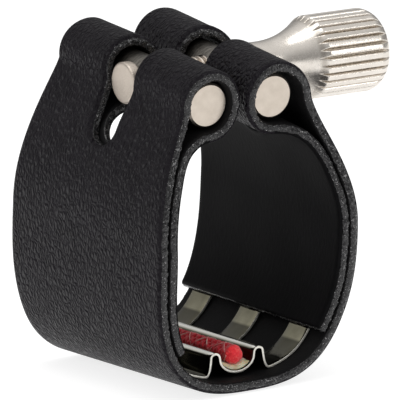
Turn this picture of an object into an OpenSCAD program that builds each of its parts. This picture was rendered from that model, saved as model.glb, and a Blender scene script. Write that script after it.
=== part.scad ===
// Leather saxophone ligature: a band folded round two cross barrels, drawn
// together by a headed stud and a knurled knob, with a stamped reed plate inside.
// X runs across, Y along the mouthpiece (narrow end at -Y), Z up from the reed.
// The origin is on the mouthpiece's axis, in the plane of the stud.

/* [Band] */
// Thickness of one layer of leather
leather_t = 1.3; // [0.9:0.1:2]
// Half of the band's outside width at its widest, in the stud's plane
band_half_w = 14.4; // [12:0.1:18]
// Height of the widest place, as a share of the height from the band's underside to the barrels
widest_share = 0.53; // [0.45:0.01:0.6]
// Squareness of the lower corners: 2 is an ellipse, higher is squarer
corner_power = 2.75; // [2.3:0.05:4]
// Width along Y of the loops that hold the barrels
loop_w = 25.6; // [20:0.2:31]
// How much further back than the loops the bottom of the band reaches
rear_extra = 4.5; // [0:0.1:8]
// How far the leather stands off the barrels on their outer sides
loop_slack = 0.45; // [0:0.05:1]
// How far the middle of each side bows past the loops at the front edge
edge_bow = 2; // [0:0.1:3]
// Height above the rails' crests at which the lining flaps end, measured on the band's outside
flap_edge = 0.55; // [0.5:0.05:4]
// Height of the slots' round bottoms below the barrels' axes
slot_depth = 7; // [5.5:0.1:8.5]

/* [Barrels] */
// Diameter of the two cross barrels
barrel_d = 5.4; // [4.6:0.1:7]
// Distance from the loops' edges in to the barrels' ends
barrel_recess = 0.7; // [0:0.1:2]
// Space between the two closed loops, in the stud's plane
loop_gap = 1.4; // [1:0.1:3]
// Height of the barrels' axes above the reed, in the stud's plane
barrel_h = 31.4; // [26:0.2:38]
// Rise of the barrels towards the wide end of the mouthpiece, in degrees
taper = 7.3; // [0:0.1:9]
// Spread of the barrels and the sides towards the wide end, each side, in degrees
splay = 1.4; // [0:0.1:1.8]

/* [Stud and knob] */
// Diameter of the stud over its thread
stud_d = 3.9; // [3:0.1:4.4]
// Length of stud inside the knob when closed
stud_grip = 13; // [9:0.5:14]
// Diameter of the stud's head
head_d = 4.95; // [4.6:0.05:5.2]
// Thickness of the stud's head
head_t = 1.3; // [0.8:0.1:2]
// Diameter of the knob's neck
neck_d = 5.4; // [4.8:0.1:5.4]
// Length of the knob's neck and flare
neck_len = 11; // [8:0.2:15]
// Diameter over the knob's ridges
grip_d = 9.8; // [8:0.1:13]
// Length of the knob's ridged grip, with its domed end
grip_len = 8.8; // [7:0.1:14]

/* [Reed plate] */
// Thickness of the plate's sheet
sheet_t = 0.3; // [0.2:0.05:0.5]
// Distance from the loops' front edge back to the plate's front edge
plate_inset = 2.8; // [1:0.1:4]
// Distance from the band's rear edge in to the plate's rear edge
rear_inset = 1.9; // [0:0.1:4]
// Distance between the crests of the two rails
rail_gap = 6.1; // [5.6:0.1:7]
// Height of the rails' crests above the band's underside
rail_h = 4.5; // [4:0.1:6]
// Width of each arm
arm_w = 4; // [3:0.1:5]
// Diameter of the resonator cord
cord_d = 2.25; // [1.6:0.05:2.4]

/* [Hidden] */

axis_h = 13;           // mouthpiece axis above the rails' crests
turn_fit = 0.08;       // barrel in its loop, radial
stud_fit = 0.05;       // stud in the knob and the right barrel, radial
press_fit = 0.02;      // stud in the left barrel, radial
glue_gap = 0.1;        // between the wall and its lining flap
flex_gap = 0.3;        // between the bottom and the sides, where the leather flexes
seat_gap = 0.05;       // between faces that bear on each other
slot_fit = 0.3;        // between the stud's head or the neck and the slot's sides
flat_cut = 0.3;        // depth of the flats on the barrels for the head and the neck
chamfer = 0.25;        // on the turned pieces' edges
bore_spare = 2.5;      // knob's bore beyond the stud's end when closed
ridge_step = 0.2;      // from the flare up to the ridges
flex_z = 2.7;          // flex line above the rails' crests, in the stud's plane
cord_proud = 0.4;      // cord above the rails' crests
cord_inset = 0.7;      // from the plate's ends to the cord's ends
rail_bend = 0.65;      // radius of the sheet's middle line over a rail
leg_slope = 0.35;      // from a rail's inner leg to the valley
valley_gap = 0.35;     // between the valley's and the feet's middle lines
foot_len = 1.1;        // from a rail's outer leg to the foot's edge

barrel_r = barrel_d / 2;
loop_in = barrel_r + turn_fit;
loop_out = loop_in + leather_t;
core_r = loop_in - 1;  // inside of the loop before it is bored for the barrel
barrel_x = loop_out + loop_gap / 2;
barrel_len = loop_w - 2 * barrel_recess;
slot_w = max(neck_d, head_d) + 2 * slot_fit;
full_h = barrel_h + rail_h;
stud_r = stud_d / 2;
flat_x = barrel_x + barrel_r - flat_cut;
lean = tan(taper);
spread = tan(splay);

corner_n = 14;         // stations from the bottom's middle to the widest place
wall_n = 8;            // stations from there to the loop
loop_n = 18;           // stations round the loop
turn_n = 6;            // stations where the flap leaves the loop for the wall
flap_n = 10;           // stations down the wall
arm_n = 12;            // stations up an arm of the plate
arm_gap = 0.1;         // stations between an arm's tip and the flap's edge

// ---- the band's shape ----

// height of the barrels' axes above the crests, and their distance from the middle, at y
function axle_z(y) = barrel_h + lean * y;
function axle_x(y) = barrel_x + spread * y;

// the band's edges at a share h of the full height, dz above the barrel's axis: near the loops
// they are square to the barrel
function front_y(h, dz) =
    -loop_w / 2 - edge_bow * pow(sin(180 * pow(min(h, 1), 1.25)), 1.6) - lean * dz * pow(h, 6);
function rear_y(h, dz) = loop_w / 2 + rear_extra * (1 - pow(h, 2)) - lean * dz * pow(h, 6);

// outside of one half of the wall at y: distance from the middle, and share of the height
function low_x(a, y) = (band_half_w + spread * y) * pow(cos(a), 2 / corner_power);
function low_h(a) = widest_share * (1 - pow(sin(a), 2 / corner_power));
function high_x(u, y) =
    let (top_x = axle_x(y) + loop_out + loop_slack)
    top_x + (band_half_w + spread * y - top_x) * pow(max(1 - u * u, 0), 1.4);
function high_h(u) = widest_share + (1 - widest_share) * u;

// station k of the wall, 0 at the bottom's middle
function wall_h(k) = k <= corner_n ? low_h(90 - 90 * k / corner_n) : high_h((k - corner_n) / wall_n);
function wall_x(k, y) =
    k <= corner_n ? low_x(90 - 90 * k / corner_n, y) : high_x((k - corner_n) / wall_n, y);
function wall_pt(k, y) = [wall_x(k, y), (axle_z(y) + rail_h) * wall_h(k) - rail_h];

// outward direction of the wall at station k
function unit(v) = v / norm(v);
function right_of(v) = [v[1], -v[0]];
function wall_dir(k, y) =
    let (step = 0.2)
    unit(wall_pt(min(k + step, corner_n + wall_n), y) - wall_pt(max(k - step, 0), y));
function wall_in(k, y, d) = wall_pt(k, y) - right_of(wall_dir(k, y)) * d;

// station k of the loop, 0 where the wall meets it and loop_n at its underside
function loop_a(k) = 270 * k / loop_n;
function loop_pt(k, y, r) = [axle_x(y) + r * cos(loop_a(k)), axle_z(y) + r * sin(loop_a(k))];
function slack_at(a) = loop_slack * (0.65 * pow(sin(a), 2) + (a < 90 ? pow(cos(a), 2) : 0));
function loop_edge(k, y) = loop_pt(k, y, loop_out + slack_at(loop_a(k)));

// the flap's open face: a curve from the loop's underside to the wall, then down the wall
turn_k = corner_n + 0.52 * wall_n;
skin = 2 * leather_t + glue_gap;
flap_share = (flap_edge + rail_h) / full_h;
flap_end = corner_n * (1 - asin(pow(1 - flap_share / widest_share, corner_power / 2)) / 90);
function flap_k(i) = turn_k + (flap_end - turn_k) * i / flap_n;
function bezier(a, b, c, d, t) =
    a * pow(1 - t, 3) + b * 3 * t * pow(1 - t, 2) + c * 3 * t * t * (1 - t) + d * pow(t, 3);
function turn_pt(t, y) =
    let (start = loop_edge(loop_n, y), end = wall_in(turn_k, y, skin))
    let (reach = norm(end - start) * 0.42)
    bezier(start, start + [reach, 0], end + wall_dir(turn_k, y) * reach, end, t);
function flap_pt(j, y) = j <= turn_n ? turn_pt(j / turn_n, y) : wall_in(flap_k(j - turn_n), y, skin);
function flap_h(j) = j <= turn_n ? 1 + (wall_h(turn_k) - 1) * j / turn_n : wall_h(flap_k(j - turn_n));
function flap_dz(j) = min(full_h * (flap_h(j) - 1), -loop_out * (1 - min(j / turn_n, 1)));
function flap_dir(j, y) =
    j == 0 ? [1, 0] : unit(flap_pt(min(j + 1, turn_n + flap_n), y) - flap_pt(j - 1, y));
function flap_back(j, y) = flap_pt(j, y) - right_of(flap_dir(j, y)) * leather_t;

function lift(p, y) = [p[0], y, p[1]];

// four corners of the band at each station: front outside, front inside, rear inside, rear outside
function wall_ring(k) =
    let (h = wall_h(k), dz = full_h * (h - 1), f = front_y(h, dz), r = rear_y(h, dz))
    [lift(wall_pt(k, f), f), lift(wall_in(k, f, leather_t), f),
     lift(wall_in(k, r, leather_t), r), lift(wall_pt(k, r), r)];
function loop_ring(k) =
    let (dz = loop_out * sin(loop_a(k)), f = front_y(1, dz), r = rear_y(1, dz))
    [lift(loop_edge(k, f), f), lift(loop_pt(k, f, core_r), f),
     lift(loop_pt(k, r, core_r), r), lift(loop_edge(k, r), r)];
function flap_ring(j) =
    let (h = flap_h(j), dz = flap_dz(j), f = front_y(h, dz), r = rear_y(h, dz))
    [lift(flap_pt(j, f), f), lift(flap_back(j, f), f),
     lift(flap_back(j, r), r), lift(flap_pt(j, r), r)];
function flip(ring) = [for (p = ring) [-p[0], p[1], p[2]]];

// a closed strip through a list of four-cornered rings
module strip(rings) {
    n = len(rings);
    faces = [
        for (i = [0:n - 2], c = [0:3]) [4 * i + c, 4 * i + (c + 1) % 4, 4 * i + 4 + (c + 1) % 4],
        for (i = [0:n - 2], c = [0:3]) [4 * i + c, 4 * i + 4 + (c + 1) % 4, 4 * i + 4 + c],
        [2, 1, 0], [3, 2, 0],
        [4 * n - 4, 4 * n - 3, 4 * n - 2], [4 * n - 4, 4 * n - 2, 4 * n - 1]
    ];
    polyhedron([for (ring = rings, p = ring) p], faces, convexity = 6);
}

module from_axis() translate([0, 0, -axis_h]) children();
module black_leather() color([0.13, 0.12, 0.13]) children();
module nickel() color([0.82, 0.80, 0.76]) children();

// everything above (+1) or below (-1) the flex lines
module flex_side(way) {
    reach = 100;
    low = way > 0 ? flex_gap / 2 : -reach - flex_gap / 2;
    translate([0, 0, flex_z]) rotate([taper, 0, 0])
        translate([-reach / 2, -reach / 2, low]) cube(reach);
}

// the slots through both sides, with round bottoms
module slots() {
    r = slot_w / 2;
    reach = 2 * band_half_w;
    low = barrel_h - slot_depth + r;
    translate([-reach, 0, low]) rotate([0, 90, 0]) cylinder(r = r, h = 2 * reach, $fn = 48);
    translate([-reach, -r, low]) cube([2 * reach, slot_w, reach]);
}

// the space for a barrel and its turning clearance
module barrel_bore() {
    translate([barrel_x, 0, barrel_h]) rotate([taper - 90, 0, -splay])
        cylinder(r = loop_in, h = 2 * loop_w, center = true, $fn = 96);
}

// ---- leather ----

module strap_base() {
    top_k = corner_n - 1;
    black_leather() from_axis() intersection() {
        strip([for (k = [-top_k:top_k]) k < 0 ? flip(wall_ring(-k)) : wall_ring(k)]);
        flex_side(-1);
    }
}

// one side: the outer layer and the loop that holds a barrel, on the +X side
module flank() {
    low_k = 2;
    difference() {
        intersection() {
            strip([
                for (k = [low_k:corner_n + wall_n - 1]) wall_ring(k),
                for (k = [0:loop_n]) loop_ring(k)
            ]);
            flex_side(1);
        }
        barrel_bore();
        slots();
    }
}

// the folded-back end of the band, glued to the inside of the wall
module lining() {
    difference() {
        strip([for (j = [0:turn_n + flap_n]) flap_ring(j)]);
        barrel_bore();
        slots();
    }
}

module strap_left_flank() { black_leather() from_axis() mirror([1, 0, 0]) flank(); }
module strap_right_flank() { black_leather() from_axis() flank(); }
module strap_left_lining() { black_leather() from_axis() mirror([1, 0, 0]) lining(); }
module strap_right_lining() { black_leather() from_axis() lining(); }

// ---- clamp ----

// a turned rod along +Z with chamfered ends
module turned_rod(r, h) {
    rotate_extrude($fn = 96)
        polygon([[0, 0], [r - chamfer, 0], [r, chamfer], [r, h - chamfer], [r - chamfer, h], [0, h]]);
}

// a cross barrel on the +X side, with its flat outwards and a cross hole of radius r
module barrel(r) {
    translate([barrel_x, 0, barrel_h]) difference() {
        rotate([taper - 90, 0, -splay]) translate([0, 0, -barrel_len / 2])
            turned_rod(barrel_r, barrel_len);
        rotate([0, 90, 0]) cylinder(r = r, h = 2 * barrel_d, center = true, $fn = 64);
        translate([flat_x - barrel_x, -slot_w / 2, -barrel_d])
            cube([barrel_d, slot_w, 2 * barrel_d]);
    }
}

module left_barrel() { nickel() from_axis() mirror([1, 0, 0]) barrel(stud_r + press_fit); }
module right_barrel() { nickel() from_axis() barrel(stud_r + stud_fit); }

module clamp_stud() {
    nickel() from_axis() translate([0, 0, barrel_h]) rotate([0, 90, 0]) {
        translate([0, 0, -flat_x - head_t]) turned_rod(head_d / 2, head_t);
        translate([0, 0, -flat_x - chamfer]) turned_rod(stud_r, 2 * flat_x + chamfer + stud_grip);
    }
}

// the knob's outline from the neck's face, along its axis
function flare(u) = neck_d / 2 + (grip_d / 2 - neck_d / 2 - ridge_step) * pow(u, 2.2);
module knob() {
    straight = 0.3 * neck_len;
    dome_h = 0.27 * grip_len;
    end_r = 0.72 * grip_d / 2;
    bore_r = stud_r + stud_fit;
    bore_end = stud_grip + bore_spare;
    steps = 8;
    outline = [
        [bore_r, 0], [neck_d / 2 - chamfer, 0], [neck_d / 2, chamfer],
        for (i = [0:steps]) [flare(i / steps), straight + (neck_len - straight) * i / steps],
        [grip_d / 2, neck_len + 2 * ridge_step],
        for (i = [0:steps]) [end_r + (grip_d / 2 - end_r) * cos(90 * i / steps),
                             neck_len + grip_len - dome_h * (1 - sin(90 * i / steps))],
        [0, neck_len + grip_len], [0, bore_end], [bore_r, bore_end]
    ];
    nickel() from_axis() translate([flat_x + seat_gap, 0, barrel_h]) rotate([0, 90, 0])
        rotate_extrude($fn = 96) polygon(outline);
}

// ---- reed plate ----

front_plate = -loop_w / 2 + plate_inset;
plate_len = loop_w / 2 + rear_extra - rear_inset - front_plate;
rail_x = rail_gap / 2;
plate_lift = leather_t + seat_gap + sheet_t / 2;
foot_z = plate_lift - rail_h;
valley_z = foot_z + valley_gap;
valley_r = rail_x - rail_bend - leg_slope;

// a flat ribbon of thickness t along a list of points
function ribbon(path, t) =
    let (last = len(path) - 1)
    let (ways = [for (i = [0:last]) unit(path[min(i + 1, last)] - path[max(i - 1, 0)])])
    concat([for (i = [0:last]) path[i] + right_of(ways[i]) * t / 2],
           [for (i = [last:-1:0]) path[i] - right_of(ways[i]) * t / 2]);

// the station at which the wall's inside is x from the middle
function station_at(x, y, k = 1) =
    wall_in(k, y, leather_t)[0] > x || k > corner_n ? k : station_at(x, y, k + 0.25);

// right half of the channel's middle line: valley, rail, and foot on the leather
function channel_half() =
    let (top = -sheet_t / 2, rear = front_plate + plate_len, leg_x = rail_x + rail_bend)
    let (foot_k = station_at(leg_x + foot_len, rear))
    [for (a = [-90:15:-15]) [valley_r * cos(a), valley_z + valley_r * (1 + sin(a))],
     [rail_x - rail_bend, top - rail_bend - 0.05],
     for (a = [150:-30:30])
         [rail_x + rail_bend * cos(a), top - rail_bend + rail_bend * sin(a)],
     [leg_x, top - rail_bend - 0.3], [leg_x + 0.2, foot_z + 0.95],
     [leg_x + 0.55, foot_z + 0.35], wall_in(foot_k, rear, plate_lift)];

// an arm's four corners at station k: it lies on the inside of the wall
function arm_ring(k, y) =
    let (low = leather_t + seat_gap, high = leather_t + seat_gap + sheet_t)
    [lift(wall_in(k, y, low), y), lift(wall_in(k, y, high), y),
     lift(wall_in(k, y + arm_w, high), y + arm_w), lift(wall_in(k, y + arm_w, low), y + arm_w)];

module reed_plate() {
    half = channel_half();
    whole = concat([for (i = [len(half) - 1:-1:1]) [-half[i][0], half[i][1]]], half);
    arm_step = (plate_len - arm_w) / 2;
    low_k = station_at(rail_x + rail_bend + foot_len / 2, 0);
    high_k = flap_end - arm_gap;
    nickel() from_axis() {
        translate([0, front_plate + plate_len, 0]) rotate([90, 0, 0])
            linear_extrude(plate_len) polygon(ribbon(whole, sheet_t));
        for (i = [0:2], m = [0, 1]) {
            y = front_plate + i * arm_step;
            mirror([m, 0, 0])
                strip([for (j = [0:arm_n]) arm_ring(low_k + (high_k - low_k) * j / arm_n, y)]);
        }
    }
}

cord_z = cord_proud - cord_d / 2;
cord_start = front_plate + cord_inset;
cord_len = plate_len - 2 * cord_inset;

module resonator_cord() {
    color([0.70, 0.05, 0.10]) from_axis() translate([0, cord_start, cord_z])
        rotate([-90, 0, 0]) cylinder(d = cord_d, h = cord_len, $fn = 64);
}

// the bead of adhesive that fills the valley up to the cord's sides
module cord_adhesive() {
    r = valley_r - sheet_t / 2 - seat_gap;
    low = valley_z + sheet_t / 2 + seat_gap;
    top = cord_z - 0.3 * cord_d;
    turn = 90 + asin(min(max((top - low) / r - 1, -1), 0));
    steps = 5;
    half = [for (i = [0:steps])
        [r * sin(turn * i / steps), i == steps ? top : low + r * (1 - cos(turn * i / steps))]];
    color([0.85, 0.78, 0.60]) from_axis() difference() {
        translate([0, cord_start + cord_len, 0]) rotate([90, 0, 0]) linear_extrude(cord_len)
            polygon(concat([for (i = [len(half) - 1:-1:1]) [-half[i][0], half[i][1]]], half));
        translate([0, cord_start - 1, cord_z]) rotate([-90, 0, 0])
            cylinder(d = cord_d, h = cord_len + 2, $fn = 64);
    }
}

strap_base();
strap_left_flank();
strap_right_flank();
strap_left_lining();
strap_right_lining();
left_barrel();
right_barrel();
clamp_stud();
knob();
reed_plate();
resonator_cord();
cord_adhesive();
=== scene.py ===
"""A leather saxophone ligature: a grained band folded round two cross barrels, drawn together by a
headed stud and a knurled knob, with a stamped metal plate and a red cord inside for the reed.
X runs across, Y along the mouthpiece, Z up from the reed. Sizes below are in millimetres."""
from math import asin, cos, pi, radians, sin, tan

import bpy
import bmesh
import numpy as np
from mathutils import Matrix, Vector, noise


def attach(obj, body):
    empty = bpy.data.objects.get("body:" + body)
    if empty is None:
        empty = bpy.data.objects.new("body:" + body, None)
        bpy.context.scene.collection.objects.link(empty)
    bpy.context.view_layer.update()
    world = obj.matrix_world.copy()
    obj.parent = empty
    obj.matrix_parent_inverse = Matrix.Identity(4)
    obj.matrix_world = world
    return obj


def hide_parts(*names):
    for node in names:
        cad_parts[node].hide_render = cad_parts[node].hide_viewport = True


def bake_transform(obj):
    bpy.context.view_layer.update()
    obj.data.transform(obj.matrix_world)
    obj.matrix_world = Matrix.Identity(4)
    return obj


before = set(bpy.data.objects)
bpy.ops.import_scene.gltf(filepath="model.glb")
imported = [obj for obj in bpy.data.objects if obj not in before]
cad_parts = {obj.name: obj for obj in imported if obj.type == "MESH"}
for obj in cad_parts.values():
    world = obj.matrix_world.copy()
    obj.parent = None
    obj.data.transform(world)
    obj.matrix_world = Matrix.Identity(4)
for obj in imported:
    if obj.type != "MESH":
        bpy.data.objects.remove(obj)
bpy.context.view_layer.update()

MM = 0.001
CREST_Z = -13.0  # height of the rails' crests in the frame

# the band
LEATHER = 1.3  # thickness of one layer
HALF_WIDTH = 14.4  # at the widest place, in the stud's plane
WIDEST = 0.545  # height of the widest place, as a share of the whole height
SQUARENESS = 2.85  # of the lower corners: 2 is an ellipse
LOOP_WIDTH = 25.6  # along Y
REAR_EXTRA = 4.5  # the bottom's rear edge behind the loops'
EDGE_BOW = 2.0  # of the front edge, half way up
FLAP_EDGE = 0.55  # height of the flaps' edges above the rails' crests
SLOT_WIDTH = 6.0
SLOT_DEPTH = 7.0  # slots' round ends below the barrels' axes
FLAP_SLOT_LOWER = 0.7  # how much lower the flap's slot ends
SLOT_NARROWS = 1.3  # how much narrower the slot is at its lower end, from its front side
GLUE_LINE = 0.1  # between the wall and its flap
SWAY = 0.5  # lean of both sides towards the knob, above the middle
SWAY_FROM, SWAY_OVER = 3, 12  # stations: the lean's start and its reach

# the barrels
BARREL_R = 2.7
LOOP_IN = 2.78
LOOP_OUT = LOOP_IN + LEATHER
LOOP_SLACK = 0.55  # leather off the barrels' outer sides
BARREL_X = LOOP_OUT + 0.7
BARREL_Z = 31.4
RAIL_H = 4.5  # rails' crests above the band's underside
FULL_H = BARREL_Z + RAIL_H
TAPER = radians(7.3)
SPLAY = radians(1.4)
LEAN = tan(TAPER)
SPREAD = tan(SPLAY)

# the stud and the knob
STUD_Z = BARREL_Z + CREST_Z
STUD_R = 1.95
THREAD_PITCH = 0.7
THREAD_DEPTH = 0.22
FLAT_X = BARREL_X + BARREL_R - 0.3
HEAD_R = 2.475
HEAD_T = 1.3
STUD_END = FLAT_X + 13.0
KNOB_X = FLAT_X + 0.05
NECK_R = 2.7
NECK_LENGTH = 11.0
BORE_DEPTH = 15.5
GRIP_R = 5.03
GRIP_LENGTH = 8.8
RIDGES = 30
GROOVE = 0.6  # depth of the grooves between the ridges
FLAT_SHARE = 0.29  # half a ridge's flat top, as a share of the ridges' pitch

# the plate and the cord
SHEET = 0.3
RAIL_X = 3.05
RAIL_BEND = 0.65
LEG_TOP = -SHEET / 2 - RAIL_BEND - 0.05
PLATE_FRONT = -10.0
PLATE_REAR = 15.4
ARM_WIDTH = 4.0
PLATE_LIFT = LEATHER + 0.05 + SHEET / 2
FOOT_Z = PLATE_LIFT - RAIL_H
VALLEY_Z = FOOT_Z + 0.35
CORD_R = 1.125
CORD_Z = 0.4 - CORD_R
CORD_FRONT = PLATE_FRONT + 0.7
CORD_REAR = PLATE_REAR - 0.7
CORD_LENGTH = CORD_REAR - CORD_FRONT

# stations along the band: the wall, the loop round the barrel, the flap's turn, the flap
CORNER_N, WALL_N, LOOP_N, TURN_N, FLAP_N = 14, 8, 18, 6, 10
LOOP_START = CORNER_N + WALL_N
FLAP_START = LOOP_START + LOOP_N
BAND_END = FLAP_START + TURN_N + FLAP_N
LOOP_TURN = 270  # degrees of the loop round the barrel
TURN_K = CORNER_N + 0.52 * WALL_N
FLAP_SHARE = (FLAP_EDGE + RAIL_H) / FULL_H
FLAP_END_K = CORNER_N * (1 - asin((1 - FLAP_SHARE / WIDEST) ** (SQUARENESS / 2)) / (pi / 2))


# ---- the band's shape, as arrays of stations k and places y along the mouthpiece

def eased(v):
    """Runs smoothly from 0 to 1 as v does."""
    v = np.clip(v, 0, 1)
    return v * v * (3 - 2 * v)


def unit(v):
    return v / np.maximum(np.linalg.norm(v, axis=-1, keepdims=True), 1e-9)


def right_of(v):
    return np.stack([v[..., 1], -v[..., 0]], -1)


def wall_height(k):
    low = WIDEST * (1 - np.sin(np.radians(90 - 90 * np.clip(k / CORNER_N, 0, 1))) ** (2 / SQUARENESS))
    high = WIDEST + (1 - WIDEST) * (k - CORNER_N) / WALL_N
    return np.where(k <= CORNER_N, low, high)


def wall_half_width(k, y):
    turn = np.radians(90 - 90 * np.clip(k / CORNER_N, 0, 1))
    low = (HALF_WIDTH + SPREAD * y) * np.maximum(np.cos(turn), 0) ** (2 / SQUARENESS)
    u = np.clip((k - CORNER_N) / WALL_N, 0, 1)
    crown = np.maximum(1 - u * u, 0) ** 1.4
    top = BARREL_X + SPREAD * y + LOOP_OUT + LOOP_SLACK
    return np.where(k <= CORNER_N, low, top + (HALF_WIDTH + SPREAD * y - top) * crown)


def wall_point(k, y):
    z = (BARREL_Z + LEAN * y + RAIL_H) * wall_height(k) - RAIL_H
    return np.stack([wall_half_width(k, y), z], -1)


def wall_way(k, y):
    ahead = wall_point(np.minimum(k + 0.2, LOOP_START), y)
    return unit(ahead - wall_point(np.maximum(k - 0.2, 0), y))


def inside_wall(k, y, depth):
    return wall_point(k, y) - right_of(wall_way(k, y)) * depth


def loop_point(k, y, r):
    turn = np.radians(LOOP_TURN * k / LOOP_N)
    x = BARREL_X + SPREAD * y + r * np.cos(turn)
    return np.stack([x, BARREL_Z + LEAN * y + r * np.sin(turn)], -1)


def loop_edge(k, y):
    """The leather's outside round a barrel: it stands off on the outer side, the top and the underside."""
    turn = np.radians(LOOP_TURN * k / LOOP_N)
    slack = 0.65 * np.sin(turn) ** 2 + np.where(turn < np.pi / 2, np.cos(turn) ** 2, 0)
    return loop_point(k, y, LOOP_OUT + LOOP_SLACK * slack)


def lean_over(t):
    """Share of the sway at station t: none at the bottom and round the barrel's inner side."""
    up = eased((t - SWAY_FROM) / SWAY_OVER)
    away = np.clip(1 - (t - LOOP_START) / (LOOP_N / 3), 0, 1)
    j = t - FLAP_START
    k = flap_station(np.maximum(j, TURN_N))
    flap = eased((k - SWAY_FROM) / SWAY_OVER) * np.clip(j / TURN_N, 0, 1)
    return np.where(t <= LOOP_START, up, np.where(t <= FLAP_START, away * away, flap))


def turn_point(t, y):
    start = loop_edge(LOOP_N + 0 * t, y)
    end = inside_wall(TURN_K + 0 * t, y, 2 * LEATHER + GLUE_LINE)
    reach = np.linalg.norm(end - start, axis=-1, keepdims=True) * 0.42
    t = t[..., None]
    one = start + reach * np.array([1.0, 0.0])
    two = end + wall_way(TURN_K + 0 * t[..., 0], y) * reach
    return start * (1 - t) ** 3 + one * 3 * t * (1 - t) ** 2 + two * 3 * t * t * (1 - t) + end * t ** 3


def flap_station(j):
    return TURN_K + (FLAP_END_K - TURN_K) * (j - TURN_N) / FLAP_N


def flap_point(j, y):
    turning = turn_point(np.clip(j / TURN_N, 0, 1), y)
    lying = inside_wall(flap_station(np.maximum(j, TURN_N)), y, 2 * LEATHER + GLUE_LINE)
    return np.where((j <= TURN_N)[..., None], turning, lying)


def band_point(t, y):
    """The grained face and the outward direction at station t, for the right half."""
    k = np.clip(t, 0, LOOP_START)
    loop_k = np.clip(t - LOOP_START, 0, LOOP_N)
    j = np.clip(t - FLAP_START, 0, TURN_N + FLAP_N)
    on_wall = (t <= LOOP_START)[..., None]
    on_loop = ((t > LOOP_START) & (t <= FLAP_START))[..., None]
    point = np.where(on_wall, wall_point(k, y), np.where(on_loop, loop_edge(loop_k, y), flap_point(j, y)))
    turn = np.radians(LOOP_TURN * loop_k / LOOP_N)
    round_loop = np.stack([np.cos(turn), np.sin(turn)], -1)
    ahead = flap_point(np.minimum(j + 0.3, TURN_N + FLAP_N), y)
    down_flap = right_of(unit(ahead - flap_point(np.maximum(j - 0.3, 0), y)))
    out = np.where(on_wall, right_of(wall_way(k, y)), np.where(on_loop, round_loop, down_flap))
    return point, out


def edge_places(t):
    """Places of the band's front and rear edges at each station."""
    k = np.clip(t, 0, LOOP_START)
    loop_k = np.clip(t - LOOP_START, 0, LOOP_N)
    j = np.clip(t - FLAP_START, 0, TURN_N + FLAP_N)
    turned = 1 + (wall_height(np.full_like(t, TURN_K)) - 1) * np.clip(j / TURN_N, 0, 1)
    flap_h = np.where(j <= TURN_N, turned, wall_height(flap_station(np.maximum(j, TURN_N))))
    h = np.where(t <= LOOP_START, wall_height(k), np.where(t <= FLAP_START, 1.0, flap_h))
    flap_dz = np.minimum(FULL_H * (flap_h - 1), -LOOP_OUT * (1 - np.minimum(j / TURN_N, 1)))
    loop_dz = LOOP_OUT * np.sin(np.radians(LOOP_TURN * loop_k / LOOP_N))
    dz = np.where(t <= LOOP_START, FULL_H * (h - 1), np.where(t <= FLAP_START, loop_dz, flap_dz))
    square = LEAN * dz * h ** 6
    bow = EDGE_BOW * np.sin(np.pi * np.minimum(h, 1) ** 1.25).clip(0) ** 1.6
    front = -LOOP_WIDTH / 2 - bow - square
    rear = LOOP_WIDTH / 2 + REAR_EXTRA * (1 - h ** 2) - square
    return front, rear


# ---- meshes

def placed(points, side=1):
    """Points in millimetres from the crests, put in the frame in metres; side -1 mirrors them."""
    moved = np.array(points, float).reshape(-1, 3)
    moved[:, 0] *= side
    moved[:, 2] += CREST_Z
    return moved * MM


def linked(name, data):
    made = bpy.data.objects.new(name, data)
    bpy.context.collection.objects.link(made)
    return made


def new_piece(name, points, faces, materials, outward=True):
    mesh = bpy.data.meshes.new(name)
    mesh.from_pydata([tuple(p) for p in points], [], [tuple(f) for f in faces])
    for finish in materials:
        mesh.materials.append(finish)
    if outward:
        turn_outward(mesh)
    mesh.shade_smooth()
    return linked(name, mesh)


def ring_faces(rings, around):
    """Faces between rings of points, each ring closed."""
    steps = [(q, (q + 1) % around) for q in range(around)]
    return [(i + q, i + n, i + around + n, i + around + q)
            for i in range(0, (rings - 1) * around, around) for q, n in steps]


def turn_outward(mesh):
    work = bmesh.new()
    work.from_mesh(mesh)
    bmesh.ops.recalc_face_normals(work, faces=work.faces)
    work.to_mesh(mesh)
    work.free()


def settle(piece):
    """Works out the piece's modifiers and leaves a plain mesh with its name."""
    bpy.context.view_layer.update()
    graph = bpy.context.evaluated_depsgraph_get()
    mesh = bpy.data.meshes.new_from_object(piece.evaluated_get(graph), depsgraph=graph)
    piece.modifiers.clear()
    piece.data = mesh
    mesh.name = piece.name


def lumps(points, size, seed):
    """Smooth noise at each point, about -1 to 1; size is the lumps' size in millimetres."""
    shift = Vector((seed * 7.31, seed * 3.17, seed * 1.73))
    return np.array([noise.noise(Vector(p) / size + shift) for p in points])


# ---- the band

EDGE_ROUND = 0.34  # radius where a face rolls over into a cut edge
EDGE_STEPS = 7  # points across a cut edge
STATION_STEP = 0.21
ROUGHNESS = 0.12  # of the cut edges, for coarse and fine lumps alike
SLOT_TAPER = 7.5  # length over which the slot narrows, from its lower end


def band_stations():
    """Stations at even steps along the grained face, with the rows where the slot's ends fall."""
    fine = np.linspace(0, BAND_END, 4000)
    point = band_point(fine, np.zeros_like(fine))[0]
    length = np.concatenate([[0], np.cumsum(np.linalg.norm(np.diff(point, axis=0), axis=1))])
    r = SLOT_WIDTH / 2
    low_r = r - SLOT_NARROWS / 2
    low = BARREL_Z - SLOT_DEPTH
    outer_k = np.interp(low, point[fine <= LOOP_START, 1], fine[fine <= LOOP_START])
    on_flap = fine >= FLAP_START
    inner_t = np.interp(FLAP_SLOT_LOWER - low, -point[on_flap, 1], fine[on_flap])
    first = np.interp(outer_k, fine, length) + low_r
    last = np.interp(inner_t, fine, length) - r
    a = round(first / STATION_STEP)
    b = a + round((last - first) / STATION_STEP)
    end = b + round((length[-1] - last) / STATION_STEP)
    rows = np.interp(np.arange(end + 1), [0, a, b, end], [0, first, last, length[-1]])
    return rows, a, b, length, fine


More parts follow.
